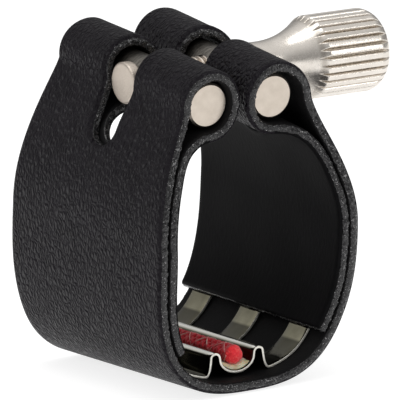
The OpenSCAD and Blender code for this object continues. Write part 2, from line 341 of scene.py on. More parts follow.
def clustered(count):
    return (1 - np.cos(np.pi * np.arange(count + 1) / count)) / 2


def band_half(side):
    """One half of the band, from the middle of its underside up one wall, round the barrel and down
    the inside, with the slot for the stud, cut edges rounded with wear and slightly raised slot lips."""
    rows, a, b, length, fine = band_stations()
    r = SLOT_WIDTH / 2
    outer_n, slot_n = 17, 16
    across = clustered(outer_n)
    n_rows, n_cols = len(rows), 2 * outer_n + slot_n + 1
    left, right = outer_n, outer_n + slot_n
    angle = np.pi * np.arange(slot_n + 1) / slot_n
    t_row = np.interp(rows, length, fine)
    front, rear = edge_places(t_row)
    centre = SLOT_NARROWS / 2 * (1 - eased((rows - rows[a]) / SLOT_TAPER))
    half = r - centre
    y = np.empty((n_rows, n_cols))
    y[:, :left + 1] = front[:, None] + (centre - half - front)[:, None] * across
    y[:, left:right + 1] = centre[:, None] - half[:, None] * np.cos(angle)
    y[:, right:] = r + (rear[:, None] - r) * across
    s = np.repeat(rows[:, None], n_cols, 1)
    for i in range(n_rows):
        below = np.clip((rows[a] - rows[i]) / (3 * r), 0, None)
        above = np.clip((rows[i] - rows[b]) / (2.6 * r), 0, None)
        share = 0 if a < i < b else max(0, 1 - below) if i <= a else -max(0, 1 - above)
        s[i, left:right + 1] -= half[i] * np.sin(angle) * share
    t = np.interp(s, length, fine)
    face, out = band_point(t, y)
    face[..., 0] += side * SWAY * lean_over(t)
    # distance to the nearest cut edge
    to_side = np.minimum(y - front[:, None], rear[:, None] - y)
    over_start = np.maximum(rows[a] - s, 0)
    over_end = np.maximum(s - rows[b], 0)
    along = np.maximum(over_start, over_end)
    off_middle = y - centre[:, None]
    to_slot = np.hypot(along, off_middle) - half[:, None]
    to_end = rows[-1] - s
    to_cut = np.minimum(np.minimum(to_side, np.abs(to_slot)), to_end).clip(0)
    rolled = EDGE_ROUND - np.sqrt(np.maximum(EDGE_ROUND ** 2 - np.maximum(EDGE_ROUND - to_cut, 0) ** 2, 0))
    lip = 0.1 * np.exp(-((np.abs(to_slot) - 0.5) / 0.4) ** 2) * (to_slot > -0.01)
    sway = lumps(np.stack([s, y, 0 * s], -1).reshape(-1, 3), 7.0, 3 + side).reshape(s.shape) * 0.09
    sway *= np.clip((s - 8) / 8, 0, 1)
    grain = face + out * (lip + sway - rolled)[..., None]
    back = face - out * (LEATHER - sway - rolled * 0.4)[..., None]
    keep = np.ones((n_rows, n_cols), bool)
    keep[a + 1:b, left + 1:right] = False
    cells = np.ones((n_rows - 1, n_cols - 1), bool)
    cells[a:b, left:right] = False
    lining_row = int(np.searchsorted(t_row, FLAP_START))
    return weave_band(grain, back, out, y, s, keep, cells, (a, b, left, right), lining_row, (centre, half))


def weave_band(grain, back, out, y, s, keep, cells, slot, lining_row, slot_size):
    """Joins the two faces of a half band with its cut edges into one closed mesh."""
    a, b, left, right = slot
    n_rows, n_cols = y.shape
    points, faces, kinds, marks = [], [], [], []

    def add(p):
        points.append(p)
        return len(points) - 1

    index = -np.ones((2, n_rows, n_cols), int)
    for i in range(n_rows):
        for j in range(n_cols):
            if keep[i, j]:
                index[0, i, j] = add((grain[i, j, 0], y[i, j], grain[i, j, 1]))
                index[1, i, j] = add((back[i, j, 0], y[i, j], back[i, j, 1]))
                marks.extend([(s[i, j], y[i, j])] * 2)
    for i in range(n_rows - 1):
        for j in range(n_cols - 1):
            if cells[i, j]:
                for f in (0, 1):
                    near, far = index[f, i], index[f, i + 1]
                    faces.append((near[j], near[j + 1], far[j + 1], far[j]))
                    kinds.append(3 if f == 0 and i >= lining_row else f)
    profiles = {}

    def profile(i, j, way):
        """Points across the cut edge from the grained face to the back at one vertex."""
        if (i, j) in profiles:
            return profiles[(i, j)]
        top = np.array(points[index[0, i, j]])
        bottom = np.array(points[index[1, i, j]])
        made = [index[0, i, j]]
        for q in range(1, EDGE_STEPS):
            turn = pi * q / EDGE_STEPS
            p = (top + bottom) / 2 + (top - bottom) / 2 * cos(turn)
            p = p + way * 0.16 * sin(turn) ** 0.7
            made.append(add(tuple(p)))
            marks.append((s[i, j], y[i, j]))
        made.append(index[1, i, j])
        profiles[(i, j)] = made
        return made

    def strip(path):
        for one, two in zip(path[:-1], path[1:]):
            for q in range(EDGE_STEPS):
                faces.append((one[q], two[q], two[q + 1], one[q + 1]))
                kinds.append(2)

    strip([profile(i, 0, np.array([0, -1.0, 0])) for i in range(n_rows)])
    strip([profile(i, n_cols - 1, np.array([0, 1.0, 0])) for i in range(n_rows)])
    rim = [(i, left) for i in range(a, b + 1)] + [(b, j) for j in range(left + 1, right + 1)]
    rim += [(i, right) for i in range(b - 1, a - 1, -1)] + [(a, j) for j in range(right - 1, left, -1)]
    centre, half = slot_size
    slot_rim = []
    for i, j in rim:
        over = max(s[a, left] - s[i, j], 0) - max(s[i, j] - s[b, left], 0)
        along = np.array([-out[i, j, 1], 0, out[i, j, 0]])
        way = (along * over - np.array([0, y[i, j] - centre[i], 0])) / half[i]
        slot_rim.append(profile(i, j, way))
    strip(slot_rim + slot_rim[:1])
    last = n_rows - 1
    down = np.array([out[last, 0, 1], 0, -out[last, 0, 0]]) * -1
    strip([profile(last, j, down) for j in range(n_cols)])
    for j in range(n_cols - 1):
        faces.append((index[0, 0, j], index[0, 0, j + 1], index[1, 0, j + 1], index[1, 0, j]))
        kinds.append(1)
    faces.append(tuple(profiles[(0, 0)]))
    kinds.append(2)
    faces.append(tuple(profiles[(0, n_cols - 1)]))
    kinds.append(2)
    return points, faces, kinds, marks


def rough_edges(points, faces, kinds):
    """Moves the cut edges' points in and out, as brushed edge paint dries over the fibre."""
    moved = np.array(points, float)
    push = np.zeros_like(moved)
    for f, kind in zip(faces, kinds):
        if kind == 2 and len(f) == 4:
            p = moved[list(f)]
            normal = np.cross(p[2] - p[0], p[3] - p[1])
            for v in f:
                push[v] += normal
    touched = np.nonzero(np.linalg.norm(push, axis=1) > 0)[0]
    way = unit(push[touched])
    coarse = lumps(moved[touched], 0.55, 5)
    fine = lumps(moved[touched], 0.24, 9)
    moved[touched] += way * (coarse * ROUGHNESS + fine * ROUGHNESS)[:, None]
    return moved


def make_band(side, name, materials):
    points, faces, kinds, marks = band_half(side)
    points = rough_edges(points, faces, kinds)
    piece = new_piece(name, placed(points, side), faces, materials)
    mesh = piece.data
    mesh.polygons.foreach_set("material_index", kinds)
    uv = mesh.uv_layers.new(name="band")
    flat = np.array(marks) * 0.1 * np.array([side, 1])
    corners = np.zeros(len(mesh.loops), int)
    mesh.loops.foreach_get("vertex_index", corners)
    uv.data.foreach_set("uv", flat[corners].astype(np.float32).ravel())
    rest = mesh.attributes.new("rest_place", "FLOAT_VECTOR", "POINT")
    rest.data.foreach_set("vector", placed(points, side).astype(np.float32).ravel())
    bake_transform(piece)
    return piece


# ---- materials

def material(name):
    made = bpy.data.materials.new(name)
    made.use_nodes = True
    return made, made.node_tree


def fill(tree, made, values):
    """Sets a node's inputs: an output is linked, anything else is the input's own value."""
    for key, value in values.items():
        if isinstance(value, bpy.types.NodeSocket):
            tree.links.new(value, made.inputs[key])
        else:
            made.inputs[key].default_value = value


def node(tree, kind, inputs=None, **settings):
    made = tree.nodes.new(kind)
    for key, value in settings.items():
        setattr(made, key, value)
    fill(tree, made, inputs or {})
    return made


def speckle(tree, place, size, detail=4.0, rough=0.55):
    """Noise on a place in metres, with lumps of about size millimetres."""
    return noise_on(tree, place, 1000 / size, detail, rough)


def noise_on(tree, place, scale, detail, rough):
    sizes = {"Vector": place, "Scale": scale, "Detail": detail, "Roughness": rough}
    return node(tree, "ShaderNodeTexNoise", sizes).outputs["Fac"]


def between(tree, fac, stops):
    """A colour ramp: stops are (position, colour)."""
    made = node(tree, "ShaderNodeValToRGB", {"Fac": fac})
    ramp = made.color_ramp
    while len(ramp.elements) < len(stops):
        ramp.elements.new(0.5)
    for element, (at, colour) in zip(ramp.elements, stops):
        element.position = at
        element.color = (*colour, 1)
    return made.outputs["Color"]


def clouded(tree, fac, dark, light):
    return between(tree, fac, [(0.3, dark), (0.7, light)])


def blended(tree, fac, one, two):
    """Colour one where fac is 0, colour two where it is 1."""
    return node(tree, "ShaderNodeMix", {0: fac, 6: one, 7: two}, data_type="RGBA").outputs[2]


def level(tree, fac, low, high, to_low, to_high):
    ends = {"From Min": low, "From Max": high, "To Min": to_low, "To Max": to_high}
    return node(tree, "ShaderNodeMapRange", {"Value": fac, **ends}).outputs["Result"]


def mathed(tree, operation, one, two=0.0):
    return node(tree, "ShaderNodeMath", {0: one, 1: two}, operation=operation).outputs[0]


def vectored(tree, operation, values):
    return node(tree, "ShaderNodeVectorMath", values, operation=operation).outputs[0]


def times(tree, one, two):
    return mathed(tree, "MULTIPLY", one, two)


def plus(tree, one, two):
    return mathed(tree, "ADD", one, two)


def stretched(tree, place, scale):
    return node(tree, "ShaderNodeMapping", {"Vector": place, "Scale": scale}).outputs["Vector"]


def split(tree, place):
    return node(tree, "ShaderNodeSeparateXYZ", {0: place}).outputs


def axis_distance(tree, up, y):
    """Distance from the knob's axis, given the height above it and y."""
    squares = plus(tree, times(tree, up, up), times(tree, y, y))
    return mathed(tree, "POWER", squares, 0.5)


def surfaced(made, height, distance, values):
    """Gives a material its bump, with its depth in millimetres, and its shader's values."""
    tree = made.node_tree
    bump = node(tree, "ShaderNodeBump", {"Height": height, "Distance": distance * MM})
    fill(tree, tree.nodes["Principled BSDF"], {"Normal": bump.outputs["Normal"], **values})
    return made


def object_place(tree):
    return node(tree, "ShaderNodeTexCoord").outputs["Object"]


def rest_place(tree):
    return node(tree, "ShaderNodeAttribute", attribute_name="rest_place").outputs["Vector"]


def band_place(tree):
    """The place on the flat strip, in centimetres along and across."""
    return node(tree, "ShaderNodeUVMap", uv_map="band").outputs["UV"]


def grained_leather():
    """Black leather with long pebbles, finer pebbles inside them and soft folds."""
    made, tree = material("grained_leather")
    place = rest_place(tree)
    wander = node(tree, "ShaderNodeTexNoise", {"Vector": place, "Scale": 900.0, "Detail": 2.0})
    shift = vectored(tree, "SUBTRACT", {0: wander.outputs["Color"], 1: (0.5, 0.5, 0.5)})
    shift = vectored(tree, "SCALE", {0: shift, "Scale": 0.05})
    bent = vectored(tree, "ADD", {0: band_place(tree), 1: shift})
    long_way = stretched(tree, bent, (0.62, 1.0, 1.0))
    pebble = node(tree, "ShaderNodeTexVoronoi", {"Vector": long_way, "Scale": 17.0},
                  feature="DISTANCE_TO_EDGE").outputs["Distance"]
    small = node(tree, "ShaderNodeTexVoronoi", {"Vector": long_way, "Scale": 34.0},
                 feature="F1").outputs["Distance"]
    crease = level(tree, pebble, 0.0, 0.3, 0.0, 1.0)
    fold = noise_on(tree, long_way, 5.0, 5.0, 0.65)
    height = plus(tree, crease, times(tree, small, -0.35))
    height = plus(tree, height, times(tree, fold, 1.3))
    wear = plus(tree, crease, speckle(tree, place, 1.5, 3))
    return surfaced(made, height, 0.21, {
        "Base Color": clouded(tree, speckle(tree, place, 5.0, 3), (0.0080, 0.0066, 0.0089),
                              (0.0115, 0.0096, 0.0127)),
        "Roughness": level(tree, wear, 0.3, 1.6, 0.50, 0.32),
        "Specular IOR Level": 0.11})


def shaded_flap_leather():
    """The flaps' face, smoother and duller, with painted shade: its tone is a darker copy of the outer
    leather's, for the shade inside the loops.
    """
    made, tree = material("shaded_flap_leather")
    fold = noise_on(tree, stretched(tree, band_place(tree), (0.5, 1.0, 1.0)), 22.0, 5.0, 0.6)
    # painted shade: darker than the outer leather's tone
    tone = between(tree, fold, [(0.35, (0.0028, 0.0028, 0.0032)), (0.7, (0.0048, 0.0046, 0.0052))])
    return surfaced(made, fold, 0.04, {"Base Color": tone, "Roughness": 0.6, "Specular IOR Level": 0.06})


def plain_leather():
    made, tree = material("inside_leather")
    nap = speckle(tree, rest_place(tree), 0.35, 5, 0.7)
    tone = between(tree, nap, [(0.35, (0.004, 0.0038, 0.0042)), (0.75, (0.008, 0.0075, 0.008))])
    return surfaced(made, nap, 0.05, {"Base Color": tone, "Roughness": 0.7, "Specular IOR Level": 0.15})


def edge_paint():
    """Beaded black edge paint that lets pale fibre ends through; its palest specks are painted glints on the
    gloss.
    """
    made, tree = material("edge_paint")
    place = rest_place(tree)
    fibres_and_glints = speckle(tree, place, 0.22, 6, 0.7)
    beads = node(tree, "ShaderNodeTexVoronoi", {"Vector": place, "Scale": 3600.0},
                 feature="SMOOTH_F1").outputs["Distance"]
    # the palest stop is a painted glint; the darker stops are paint and fibre tone
    tone = between(tree, fibres_and_glints, [(0.45, (0.003, 0.003, 0.004)), (0.56, (0.012, 0.011, 0.012)),
                                  (0.61, (0.09, 0.088, 0.09)), (0.66, (0.62, 0.60, 0.60))])
    return surfaced(made, plus(tree, times(tree, beads, -1.2), fibres_and_glints), 0.3, {
        "Base Color": tone,
        "Roughness": level(tree, speckle(tree, place, 0.8, 3), 0.35, 0.65, 0.14, 0.4),
        "Specular IOR Level": 0.25, "Coat Weight": 0.6, "Coat Roughness": 0.1})


def knob_nickel():
    """Bright nickel, with painted shade down in the grooves of the grip: their colour is darkened where
    shade falls.
    """
    made, tree = material("knob_nickel")
    place = object_place(tree)
    x, y, z = split(tree, place)
    up = mathed(tree, "SUBTRACT", z, STUD_Z * MM)
    radius = axis_distance(tree, up, y)
    start, end = KNOB_X + NECK_LENGTH, KNOB_X + NECK_LENGTH + GRIP_LENGTH
    deep = level(tree, radius, (GRIP_R - 0.55) * MM, (GRIP_R - 0.18) * MM, 1.0, 0.0)
    on_grip = level(tree, x, (start - 1.6) * MM, (start - 0.9) * MM, 0.0, 1.0)
    before_end = level(tree, x, (end - 1.6) * MM, (end - 0.6) * MM, 1.0, 0.0)
    # painted shade: this mask darkens the colour down in the grooves, for the shade that falls there
    painted_groove_shade = times(tree, times(tree, deep, on_grip), before_end)
    unshaded_nickel = clouded(tree, speckle(tree, place, 1.6), (0.70, 0.65, 0.59), (0.79, 0.74, 0.68))
    return surfaced(made, speckle(tree, place, 0.18, rough=0.65), 0.006, {
        # the dark colour here is the painted shade in the grooves
        "Base Color": blended(tree, painted_groove_shade, unshaded_nickel, (0.34, 0.30, 0.25, 1)),
        "Metallic": 1.0,
        "Roughness": level(tree, speckle(tree, place, 0.5), 0.3, 0.7, 0.2, 0.3)})


def stud_nickel():
    made, tree = material("stud_nickel")
    place = object_place(tree)
    return surfaced(made, speckle(tree, place, 0.18, rough=0.65), 0.05, {
        "Base Color": clouded(tree, speckle(tree, place, 1.6), (0.612, 0.54, 0.468), (0.68, 0.60, 0.52)),
        "Metallic": 1.0,
        "Roughness": level(tree, speckle(tree, place, 0.5), 0.3, 0.7, 0.35, 0.47)})


def turned_nickel():
    """Satin end faces along Y, and brushed sides with painted shade: their colour is made dark for the dark
    leather they reflect.
    """
    made, tree = material("turned_nickel")
    place = object_place(tree)
    brushed = speckle(tree, stretched(tree, place, (0.3, 1.0, 0.3)), 0.25, rough=0.6)
    normal = node(tree, "ShaderNodeNewGeometry").outputs["Normal"]
    end = level(tree, mathed(tree, "ABSOLUTE", split(tree, normal)[1]), 0.55, 0.8, 0.0, 1.0)
    # painted shade: the sides' dark colour stands in for the dark leather reflected in them
    side = clouded(tree, brushed, (0.07, 0.063, 0.055), (0.27, 0.25, 0.22))
    face = clouded(tree, speckle(tree, place, 1.2), (0.54, 0.475, 0.405), (0.62, 0.55, 0.475))
    return surfaced(made, speckle(tree, place, 0.2, rough=0.65), 0.015, {
        "Base Color": blended(tree, end, side, face), "Metallic": 1.0,
        "Roughness": level(tree, end, 0, 1, 0.3, 0.36)})


def sheet_metal():
    """Drawn nickel sheet: painted shade makes it darker low down, and a painted highlight makes it bright
    along the rails' crests.
    """
    made, tree = material("sheet_metal")
    place = object_place(tree)
    lines = speckle(tree, stretched(tree, place, (1.0, 0.06, 1.0)), 0.35, rough=0.6)
    colour = clouded(tree, speckle(tree, place, 2.2, 3), (0.25, 0.235, 0.165), (0.34, 0.32, 0.235))
    x, _y, z = split(tree, place)
    # painted shade: the colour darkens below the crests
    low_painted_shade = level(tree, z, (CREST_Z - 0.45) * MM, (CREST_Z - 0.2) * MM, 0.26, 1.0)
    shaded_colour = vectored(tree, "SCALE", {0: colour, "Scale": low_painted_shade})
    across = mathed(tree, "ABSOLUTE", x)
    on_rail = level(tree, across, (RAIL_X + 0.9) * MM, (RAIL_X + 1.1) * MM, 1.0, 0.0)
    crest = level(tree, z, (CREST_Z - 0.3) * MM, (CREST_Z - 0.1) * MM, 0.0, 1.0)
    # painted highlight: a bright band of colour along the rails' crests
    painted_crest_highlight = times(tree, crest, on_rail)
    return surfaced(made, lines, 0.012, {
        "Base Color": blended(tree, painted_crest_highlight, shaded_colour, (0.9, 0.89, 0.83, 1)), "Metallic": 1.0,
        "Roughness": level(tree, lines, 0.3, 0.7, 0.09, 0.2)})


def cut_metal():
    made, tree = material("cut_metal")
    place = object_place(tree)
    colour = clouded(tree, speckle(tree, place, 0.6, 3), (0.80, 0.77, 0.68), (0.95, 0.93, 0.86))
    nicks = speckle(tree, place, 0.15, 3)
    return surfaced(made, nicks, 0.01, {"Base Color": colour, "Metallic": 0.6, "Roughness": 0.35})


def yarn(name, size, bump, stops, values):
    """Fibrous yarn: size and bump in millimetres."""
    made, tree = material(name)
    fibre = speckle(tree, object_place(tree), size, 5, 0.7)
    return surfaced(made, fibre, bump, {"Base Color": between(tree, fibre, stops), **values})


def red_yarn():
    stops = [(0.35, (0.62, 0.006, 0.018)), (0.6, (0.88, 0.012, 0.035)), (0.8, (0.95, 0.12, 0.13))]
    return yarn("red_yarn", 0.18, 0.06, stops, {"Roughness": 0.6, "Sheen Weight": 0.3})


def cut_yarn():
    stops = [(0.35, (0.88, 0.006, 0.02)), (0.54, (1.0, 0.022, 0.035)), (0.72, (1.0, 0.24, 0.18))]
    return yarn("cut_yarn", 0.3, 0.12, stops, {"Roughness": 0.8, "Sheen Weight": 0.4})


def pale_fibre():
    made, tree = material("pale_fibre")
    place = object_place(tree)
    stops = [(0.35, (0.85, 0.22, 0.22)), (0.6, (0.9, 0.62, 0.56))]
    tone = between(tree, speckle(tree, place, 0.7, 3), stops)
    return surfaced(made, speckle(tree, place, 0.1, 3), 0.02, {"Base Color": tone, "Roughness": 0.6})


def set_glue():
    made, tree = material("set_glue")
    place = object_place(tree)
    stops = [(0.35, (0.62, 0.50, 0.28)), (0.65, (0.85, 0.80, 0.62))]
    return surfaced(made, speckle(tree, place, 0.5, 3), 0.08, {
        "Base Color": between(tree, speckle(tree, place, 0.9), stops), "Roughness": 0.3,
        "Subsurface Weight": 0.3, "Subsurface Scale": 0.001})


# ---- node trees for geometry

def new_tree(name, sizes):
    """A geometry tree with a mesh, a material and named sizes, given with the kind of each."""
    tree = bpy.data.node_groups.new(name, "GeometryNodeTree")
    tree.interface.new_socket("Geometry", in_out="INPUT", socket_type="NodeSocketGeometry")
    for label, kind in {**sizes, "Material": "Material"}.items():
        tree.interface.new_socket(label, in_out="INPUT", socket_type="NodeSocket" + kind)
    tree.interface.new_socket("Geometry", in_out="OUTPUT", socket_type="NodeSocketGeometry")
    start = tree.nodes.new("NodeGroupInput")
    return tree, start.outputs


def end_tree(tree, geometry, finish):
    real = node(tree, "GeometryNodeRealizeInstances", {"Geometry": geometry})
    coloured = node(tree, "GeometryNodeSetMaterial", {"Geometry": real.outputs[0], "Material": finish})
    out = tree.nodes.new("NodeGroupOutput")
    tree.links.new(coloured.outputs[0], out.inputs[0])
    return tree


def run_tree(piece, tree, finish, counts, sizes):
    """Runs the tree on the piece: counts go in as they are, sizes are in millimetres."""
    values = {"Material": finish, **counts}
    for label, size in sizes.items():
        values[label] = tuple(v * MM for v in size) if isinstance(size, tuple) else size * MM
    modifier = piece.modifiers.new(tree.name, "NODES")
    modifier.node_group = tree
    names = {item.name: item.identifier for item in tree.interface.items_tree
             if item.item_type == "SOCKET" and item.in_out == "INPUT"}
    for label, value in values.items():
        modifier[names[label]] = value
    settle(piece)


def combined(tree, x, y, z):
    return node(tree, "ShaderNodeCombineXYZ", {0: x, 1: y, 2: z}).outputs[0]


def tube_along(tree, curve, radius, sides):
    ring = node(tree, "GeometryNodeCurvePrimitiveCircle", {"Radius": radius, "Resolution": sides}).outputs[0]
    return node(tree, "GeometryNodeCurveToMesh",
                {"Curve": curve, "Profile Curve": ring, "Fill Caps": True}).outputs[0]


# ---- the knob and the stud

def ridge_tree():
    """Cuts straight V grooves along X into a turned body: no point stays outside the ridged form."""
    sizes = ("Tip", "Depth", "Axis height", "Clear of")
    tree, given = new_tree("ridges", {"Ridges": "Int", **dict.fromkeys(sizes, "Float")})
    place = split(tree, node(tree, "GeometryNodeInputPosition").outputs[0])
    up = mathed(tree, "SUBTRACT", place[2], given["Axis height"])
    radius = axis_distance(tree, up, place[1])
    turn = mathed(tree, "DIVIDE", mathed(tree, "ARCTAN2", up, place[1]), 2 * pi)
    count = times(tree, plus(tree, turn, 1.0), given["Ridges"])
    side = level(tree, mathed(tree, "PINGPONG", count, 0.5), FLAT_SHARE, 0.5, 0.0, 1.0)
    groove = mathed(tree, "SUBTRACT", given["Tip"], times(tree, side, given["Depth"]))
    cut = node(tree, "ShaderNodeMath", {0: radius, 1: groove, 2: 0.00005}, operation="SMOOTH_MIN").outputs[0]
    scale = mathed(tree, "DIVIDE", cut, mathed(tree, "MAXIMUM", radius, 1e-6))
    new_z = plus(tree, given["Axis height"], times(tree, up, scale))
    moved = combined(tree, place[0], times(tree, place[1], scale), new_z)
    far = node(tree, "FunctionNodeCompare", {0: radius, 1: given["Clear of"]}, data_type="FLOAT",
               operation="GREATER_THAN").outputs[0]
    shaped = node(tree, "GeometryNodeSetPosition",
                  {"Geometry": given["Geometry"], "Selection": far, "Position": moved})
    return end_tree(tree, shaped.outputs[0], given["Material"])


def turned(outline, around):
    """A body turned about the X axis at the barrels' height from (x, r) points."""
    points, faces, rings = [], [], []
    for x, r in outline:
        if r < 1e-6:
            points.append((x, 0.0, BARREL_Z))
            rings.append([len(points) - 1])
            continue
        start = len(points)
        for q in range(around):
            a = 2 * pi * q / around
            points.append((x, r * cos(a), BARREL_Z + r * sin(a)))
        rings.append(list(range(start, start + around)))
    for one, two in zip(rings[:-1], rings[1:]):
        for q in range(around):
            n = (q + 1) % around
            if len(one) == 1:
                faces.append((one[0], two[n], two[q]))
            elif len(two) == 1:
                faces.append((one[q], one[n], two[0]))
            else:
                faces.append((one[q], one[n], two[n], two[q]))
    return points, faces


def knob_outline():
    """The knob's closed outline before its ridges are cut: bore, neck, flare, grip and domed end."""
    straight = 0.3 * NECK_LENGTH
    dome = 0.27 * GRIP_LENGTH
    end_r = 0.72 * GRIP_R
    bore = STUD_R + 0.05
    blank = GRIP_R + 0.35
    round_r = 0.25
    outline = [(BORE_DEPTH, 0.0), (BORE_DEPTH, bore), (0.4, bore), (0.0, bore + 0.15),
               (0.0, NECK_R - round_r)]
    outline += [(round_r - round_r * cos(a), NECK_R - round_r + round_r * sin(a))
                for a in np.linspace(0.3, 1.57, 5)]
    outline += [(x, NECK_R) for x in np.linspace(0.6, straight - 0.3, 4)]
    for u in np.linspace(0, 1, 44):
        outline.append((straight + (NECK_LENGTH - straight) * u, NECK_R + (blank - NECK_R) * u ** 2.2))
    end = NECK_LENGTH + GRIP_LENGTH
    outline += [(x, blank) for x in np.linspace(NECK_LENGTH + 0.3, end - dome - 0.1, 8)]
    for a in np.linspace(0.02, pi / 2, 26):
        outline.append((end - dome * (1 - sin(a)), end_r + (GRIP_R + 0.1 - end_r) * cos(a)))
    outline += [(end + 0.04, r) for r in np.linspace(end_r * 0.86, 0.9, 5)] + [(end + 0.05, 0.0)]
    return [(KNOB_X + x, r) for x, r in outline]


def make_knob(finish):
    points, faces = turned(knob_outline(), 480)
    piece = new_piece("knurled_knob", placed(points), faces, [finish])
    run_tree(piece, ridge_tree(), finish, {"Ridges": RIDGES},
             {"Tip": GRIP_R, "Depth": GROOVE, "Axis height": STUD_Z, "Clear of": NECK_R + 0.5})
    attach(piece, "knob")
    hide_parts("knob")


def thread_tree():
    """A V thread wound along X."""
    sizes = ("Radius", "Pitch", "Turns")
    tree, given = new_tree("thread", {"Start": "Vector", **dict.fromkeys(sizes, "Float")})
    helix = node(tree, "GeometryNodeCurveSpiral", {
        "Resolution": 28, "Rotations": given["Turns"], "Start Radius": given["Radius"],
        "End Radius": given["Radius"], "Height": times(tree, given["Pitch"], given["Turns"])})
    ridge = tube_along(tree, helix.outputs[0], times(tree, given["Pitch"], 0.36), 4)
    moved = node(tree, "GeometryNodeTransform", {"Geometry": ridge, "Translation": given["Start"],
                                                 "Rotation": (0.0, pi / 2, 0.0)}).outputs[0]
    return end_tree(tree, moved, given["Material"])


def stud_outline():
    """The stud's outline: a head with a domed rim, a plain neck and the thread's core."""
    core = STUD_R - THREAD_DEPTH
    face, dome = -FLAT_X - HEAD_T, 0.3
    outline = [(face, 0.0), (face, HEAD_R * 0.5), (face + 0.01, HEAD_R - 0.35)]
    outline += [(face + dome - dome * cos(a), HEAD_R - dome + dome * sin(a))
                for a in np.linspace(0.25, 1.57, 6)]
    outline += [(-FLAT_X - 0.2, HEAD_R), (-FLAT_X - 0.06, HEAD_R - 0.05), (-FLAT_X, HEAD_R - 0.18),
                (-FLAT_X, STUD_R), (-BARREL_X + 2.2, STUD_R), (-BARREL_X + 2.35, core),
                (STUD_END - 0.5, core), (STUD_END - 0.05, core - 0.45), (STUD_END, core - 0.6),
                (STUD_END, 0.0)]
    return outline


def make_stud(finish):
    points, faces = turned(stud_outline(), 96)
    piece = new_piece("headed_stud", placed(points), faces, [finish])
    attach(piece, "left_clamp")
    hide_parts("clamp_stud")
    thread = new_piece("stud_thread", [], [], [finish], outward=False)
    start = -BARREL_X + 2.5
    turns = (STUD_END - 0.9 - start) / THREAD_PITCH
    run_tree(thread, thread_tree(), finish, {"Turns": turns},
             {"Start": (start, 0, STUD_Z), "Radius": STUD_R - THREAD_DEPTH, "Pitch": THREAD_PITCH})
    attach(thread, "left_clamp")


# ---- the plate

def smooth_line(points, steps):
    """A smooth curve through every given point."""
    p = np.array(points, float)
    p = np.vstack([2 * p[0] - p[1], p, 2 * p[-1] - p[-2]])
    made = []
    for i in range(1, len(p) - 2):
        for q in range(steps):
            t = q / steps
            a, b, c, d = p[i - 1:i + 3]
            made.append(0.5 * (2 * b + (c - a) * t + (2 * a - 5 * b + 4 * c - d) * t * t
                               + (3 * b - a - 3 * c + d) * t ** 3))
    made.append(p[-2])
    return np.array(made)


def station_at(x, y):
    """The first station, in quarters, where the wall's inside is further out than x."""
    k = 1.0
    while k < CORNER_N and inside_wall(np.array(k), np.array(y), LEATHER)[0] <= x:
        k += 0.25
    return k


def valley_place(turn, lift):
    """A place on the valley between the rails: turn runs from 0 at its bottom to 90 degrees at a leg."""
    a = radians(turn)
    wide = RAIL_X - RAIL_BEND - lift
    deep = LEG_TOP - VALLEY_Z
    return wide * sin(a), VALLEY_Z + lift + deep * (1 - cos(a))


def channel_line():
    """Right half of the plate's middle line: valley, rail, and foot on the leather."""
    leg = RAIL_X + RAIL_BEND
    bend_z = -SHEET / 2 - RAIL_BEND
    line = [valley_place(a, 0) for a in range(0, 91, 15)]
    line += [(RAIL_X + RAIL_BEND * cos(radians(a)), bend_z + RAIL_BEND * sin(radians(a)))
             for a in range(150, 0, -30)]
    line += [(leg, bend_z - 0.3), (leg + 0.2, FOOT_Z + 0.95), (leg + 0.55, FOOT_Z + 0.35)]
    foot_k = station_at(leg + 1.1, PLATE_REAR)
    line.append(tuple(inside_wall(np.array(foot_k), np.array(PLATE_REAR), PLATE_LIFT)))
    return line, foot_k


def plate_places():
    """The arms' front and rear edges, and places along Y with four steps between each two of them."""
    step = (PLATE_REAR - PLATE_FRONT - ARM_WIDTH) / 2
    arms = [(PLATE_FRONT + i * step, PLATE_FRONT + i * step + ARM_WIDTH) for i in range(3)]
    breaks = sorted({round(v, 4) for arm in arms for v in arm})
    places = []
    for one, two in zip(breaks[:-1], breaks[1:]):
        places += list(np.linspace(one, two, 5)[:-1])
    places.append(breaks[-1])
    return arms, places


def thicken(piece):
    """Gives the sheet its thickness, with the second finish on its cut edges."""
    thick = piece.modifiers.new("sheet", "SOLIDIFY")
    thick.thickness = SHEET * MM
    thick.offset = 0
    thick.use_even_offset = True
    thick.material_offset_rim = 1
    soft = piece.modifiers.new("edges", "BEVEL")
    soft.width = 0.05 * MM
    soft.segments = 2
    soft.limit_method = "ANGLE"
    soft.angle_limit = radians(50)
    settle(piece)
    turn_outward(piece.data)
    piece.data.shade_smooth()


def make_plate(finish, cut_finish):
    """The stamped sheet: the channel's line drawn along Y, with three arms up each wall."""
    line, foot_k = channel_line()
    arms, places = plate_places()
    climb = np.linspace(foot_k + 0.5, FLAP_END_K - 0.1, 12)
    half = []
    for y in places:
        up = [tuple(inside_wall(np.array(k), np.array(y), PLATE_LIFT)) for k in climb]
        half.append(smooth_line(line + up, 4))
    half = np.array(half)
    foot_i = 4 * (len(line) - 1)
    n = half.shape[1]
    points, faces = [], []
    for row, y in zip(half, places):
        whole = np.vstack([row[:0:-1] * np.array([-1, 1]), row])
        points += [(p[0], y, p[1]) for p in whole]
    width = 2 * n - 1
    for i, (y0, y1) in enumerate(zip(places[:-1], places[1:])):
        in_arm = any(a - 1e-3 <= y0 and y1 <= b + 1e-3 for a, b in arms)
        for j in range(width - 1):
            if in_arm or abs(j + 0.5 - (n - 1)) < foot_i:
                one, two = i * width + j, (i + 1) * width + j
                faces.append((one, one + 1, two + 1, two))
    used = sorted({v for f in faces for v in f})
    renamed = {v: q for q, v in enumerate(used)}
    piece = new_piece("reed_plate_sheet", placed([points[v] for v in used]),
                      [tuple(renamed[v] for v in f) for f in faces], [finish, cut_finish], outward=False)
    thicken(piece)
    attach(piece, "base")
    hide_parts("reed_plate")


# ---- the cord and its adhesive

